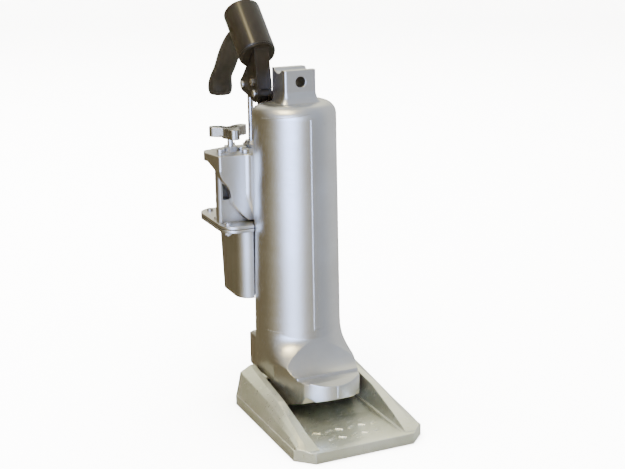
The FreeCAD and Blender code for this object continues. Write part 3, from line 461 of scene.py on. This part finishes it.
grip_rubber = moulded_rubber("grip_rubber", tone=(0.0070, 0.0055, 0.0030),
                             dust=(0.016, 0.0125, 0.0075), roughness=0.5)
dress(grip_rubber, "hand_grip")
seal_rubber = moulded_rubber("seal_rubber", tone=(0.004, 0.004, 0.004), dust=(0.009, 0.009, 0.009),
                             roughness=0.6)
dress(seal_rubber, "piston_seal", "rod_wiper", "plunger_seal", "tank_gasket")


# ------------------------------------------------------------------ studio
# Round pale paper floor that curves up into a pale wall on every side, so that no edge shows from
# any view. It glows faintly, and the metal does not mirror it.
def bowl_mesh(name, flat, bend, wall_top):
    """Flat disc, quarter circle and upright wall: one profile of radius and height, turned about Z."""
    bend_points = 25
    sides = 96
    rise = np.linspace(0.0, math.pi / 2, bend_points)
    radius = np.concatenate(([0.5 * flat], flat + bend * np.sin(rise), [flat + bend]))
    level = np.concatenate(([0.0], bend * (1 - np.cos(rise)), [wall_top]))
    turn = np.linspace(0.0, 2 * math.pi, sides, endpoint=False)
    grid = np.stack([radius[:, None] * np.cos(turn), radius[:, None] * np.sin(turn),
                     np.repeat(level[:, None], sides, 1)], -1).reshape(-1, 3)
    rows = np.arange(len(radius) - 1)[:, None] * sides
    here = np.arange(sides)[None]
    beyond = (here + 1) % sides
    faces = np.stack([rows + here, rows + sides + here, rows + sides + beyond, rows + beyond], -1)
    faces = faces.reshape(-1, 4).tolist()
    mesh = bpy.data.meshes.new(name)
    mesh.from_pydata(grid.tolist(), [], faces + [list(range(sides))])
    mesh.shade_smooth()
    return mesh


floor_gap = 0.0004
floor = bpy.data.objects.new("floor", bowl_mesh("floor", flat=4.2, bend=1.6, wall_top=6.0))
floor.location = (0.0, 0.0, -floor_gap)
floor.visible_glossy = False
bpy.context.collection.objects.link(floor)
floor_paper, floor_shader, floor_place = new_finish("floor_paper")
fibre = grain(floor_place, scale=60.0, detail=4.0)
feed(floor_shader, Base_Color=fibre.tint((0.93, 0.93, 0.93), (0.96, 0.96, 0.96)), Roughness=0.9,
     Specular_IOR_Level=0.1, Emission_Color=(1.0, 1.0, 1.0), Emission_Strength=1.1)
floor.data.materials.append(floor_paper)

# ------------------------------------------------------------------ room and lamps
# The room that the metal mirrors: a dim warm and cool room, one large pale screen on the left, a
# narrow tube overhead and duller patches elsewhere. Two soft lamps light the floor and the object.
world = bpy.data.worlds.new("studio")
world.use_nodes = True
sky_tree = world.node_tree
sky = Socket(sky_tree, sky_tree.nodes.new("ShaderNodeTexCoord").outputs["Generated"])


def height(place, axis):
    """One of the three parts of a place or a direction, 0 to 2 for X to Z."""
    return place.node("ShaderNodeSeparateXYZ", {}, {0: place}, axis)


def facing(direction):
    """How far the sky's direction agrees with one direction: 1 there, -1 opposite."""
    return sky.node("ShaderNodeVectorMath", {"operation": "DOT_PRODUCT"},
                    {0: sky, 1: tuple(Vector(direction).normalized())}, 1)


warm_low = (0.50, 0.43, 0.27)
cool_high = (0.60, 0.64, 0.72)
room = height(sky, 2).between(-0.35, 0.45).tint(warm_low, cool_high)
cool_wall = facing((1.0, -0.45, 0.0)).between(0.35, 0.95)
room = cool_wall.tint(room, (0.50, 0.55, 0.66))
pale_wall = facing((0.97, 0.24, 0.10)).between(0.55, 0.95)
room = pale_wall.tint(room, (0.80, 0.82, 0.84))
dark_corner = facing((-0.62, 0.78, -0.10)).between(0.40, 0.88)
room = dark_corner.tint(room, (0.19, 0.155, 0.085))
back_panel = facing((0.20, 0.76, 0.62)).between(0.74, 0.96)
room = back_panel.tint(room, (1.45, 1.42, 1.15))
screen = facing((-0.56, -0.82, 0.06))
room = screen.between(0.76, 0.94).tint(room, (2.3, 2.4, 2.5))
room = screen.between(0.90, 0.99).tint(room, (5.2, 7.2, 13.5))
tube_light = facing((-0.42, -0.20, 0.88)).between(0.975, 0.995)
room = tube_light.tint(room, (24.0, 20.0, 11.0))
sky_tree.links.new(room.out, sky_tree.nodes["Background"].inputs[0])
bpy.context.scene.world = world


def soft_light(name, place, aim, width, tall, power):
    """A white lamp with a lit rectangle, turned to face a point; the metal does not mirror it."""
    lamp = bpy.data.lights.new(name, "AREA")
    lamp.shape = "RECTANGLE"
    lamp.size = width
    lamp.size_y = tall
    lamp.energy = power
    holder = bpy.data.objects.new(name, lamp)
    holder.location = place
    holder.visible_glossy = False
    holder.rotation_euler = (Vector(aim) - Vector(place)).to_track_quat("-Z", "Y").to_euler()
    bpy.context.collection.objects.link(holder)


soft_light("top", (-0.3, -0.5, 3.2), (0, 0.4, 0.0), width=3.6, tall=3.6, power=950.0)
soft_light("wall", (0.0, 1.2, 3.4), (0, 3.4, 0.8), width=4.0, tall=1.0, power=760.0)

# ------------------------------------------------------------------ camera
# A long lens a metre and a half off, to the left of the toe and a little above the head, turned
# by a hair about its own axis. The shift only sets where the object stands in the frame.
camera_place = (-0.5788, -1.3618, 0.6176)
camera_roll = math.radians(-0.22)
camera = bpy.data.cameras.new("camera")
camera.sensor_width = 36.0
camera.lens = 74.32
camera.shift_x = -0.0773
camera.shift_y = -0.0282
camera.clip_start = 0.05
camera.clip_end = 50.0
eye = bpy.data.objects.new("camera", camera)
gaze = Vector((0.4238, 0.8689, -0.2559))
aimed = gaze.to_track_quat("-Z", "Y").to_matrix().to_4x4()
eye.matrix_world = Matrix.Translation(camera_place) @ aimed @ Matrix.Rotation(camera_roll, 4, "Z")
bpy.context.collection.objects.link(eye)
bpy.context.scene.camera = eye
